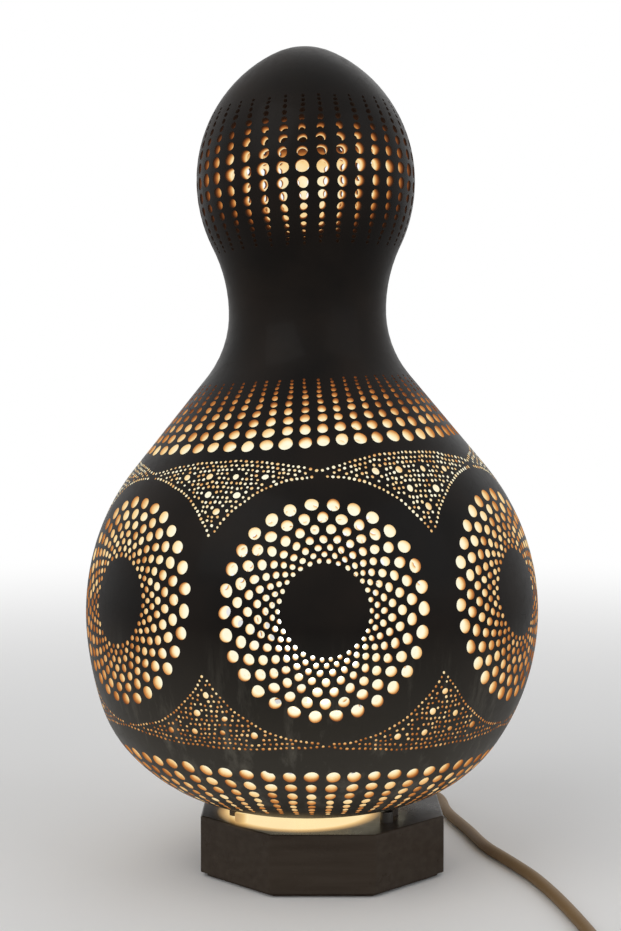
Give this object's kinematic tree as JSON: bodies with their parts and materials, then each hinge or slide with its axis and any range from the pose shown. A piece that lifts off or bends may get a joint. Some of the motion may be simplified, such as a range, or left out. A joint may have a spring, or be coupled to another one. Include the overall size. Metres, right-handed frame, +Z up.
{
  "type": "carved gourd table lamp",
  "caption": "Carved and drilled bottle gourd that glows as a shade over a bulb on an eight-sided wooden base, with its mains cord, hand switch and plug.",
  "frame": {"origin": "on the table, under the middle of the base", "axes": "+Z up; the lamp's front looks along -Y, and the cord leaves the base along +Y; +X is to the right seen from the front"},
  "size_m": [0.2231, 0.412, 0.3829],
  "materials": {
    "dark_gourd": "near-black brown satin lacquer over dried gourd shell",
    "felt": "dark felt",
    "lacquered_wood": "dark taupe gloss lacquer",
    "board": "raw hardboard",
    "steel": "zinc plated",
    "clear_bumper": "soft matt",
    "beech": "raw beech dowel",
    "holder_plastic": "off-white moulded",
    "porcelain": "glazed white",
    "brass": "bright pressed brass",
    "solder": "dull solder",
    "black_glass": "black glass bead",
    "nickel": "nickel plated",
    "bulb_glass": "clear warm glass",
    "filament": "yellow phosphor",
    "white_plastic": "natural nylon",
    "brown_sleeve": "brown insulation",
    "blue_sleeve": "blue insulation",
    "cord_sheath": "brown satin sheath",
    "switch_plastic": "brown moulded",
    "rocker_plastic": "darker brown moulded",
    "plug_plastic": "brown moulded"
  },
  "bodies": {
    "base": {"foot_pad": "felt", "octagonal_base": "lacquered_wood", "base_cover": "board", "cover_screws": "steel", "spacer_pads": "clear_bumper", "locating_pegs": "beech", "holder_nipple": "steel", "nipple_nuts": "steel", "nipple_washer": "steel", "lamp_holder_shell": "holder_plastic", "holder_core": "porcelain", "holder_rivets": "brass", "holder_sleeve": "brass", "holder_contact": "brass", "terminal_block": "white_plastic", "terminal_screws": "steel", "live_lead": "brown_sleeve", "neutral_lead": "blue_sleeve", "cord_clamp": "white_plastic", "clamp_screws": "steel", "cord_bushing": "cord_sheath", "cord_tail": "cord_sheath", "lamp_cord": "cord_sheath", "switch_case_bottom": "switch_plastic", "switch_case_top": "switch_plastic", "switch_pivot": "steel", "switch_contacts": "brass", "switch_screws": "steel", "cord_guards": "cord_sheath", "switch_cord": "cord_sheath", "cord_coil": "cord_sheath", "plug_cord": "cord_sheath", "plug_body": "plug_plastic", "plug_pins": "nickel"},
    "gourd": {"gourd_shell": "dark_gourd"},
    "bulb": {"bulb_contact": "solder", "bulb_insulator": "black_glass", "bulb_cap": "nickel", "bulb_glass": "bulb_glass", "bulb_stem": "bulb_glass", "bulb_filaments": "filament"},
    "rocker": {"switch_rocker": "rocker_plastic"}
  },
  "joints": [
    {"name": "gourd_lift", "type": "slide", "parent": "base", "child": "gourd", "axis": [0, 0, 1], "range_m": [0, 0.12]},
    {"name": "bulb_turn", "type": "hinge", "parent": "base", "child": "bulb", "pos_m": [0, 0, 0.076], "axis": [0, 0, 1], "range_deg": [0, 1080]},
    {"name": "switch_rock", "type": "hinge", "parent": "base", "child": "rocker", "pos_m": [0.021, -0.172, 0.015], "axis": [0, 1, 0], "range_deg": [-18, 0]}
  ]
}
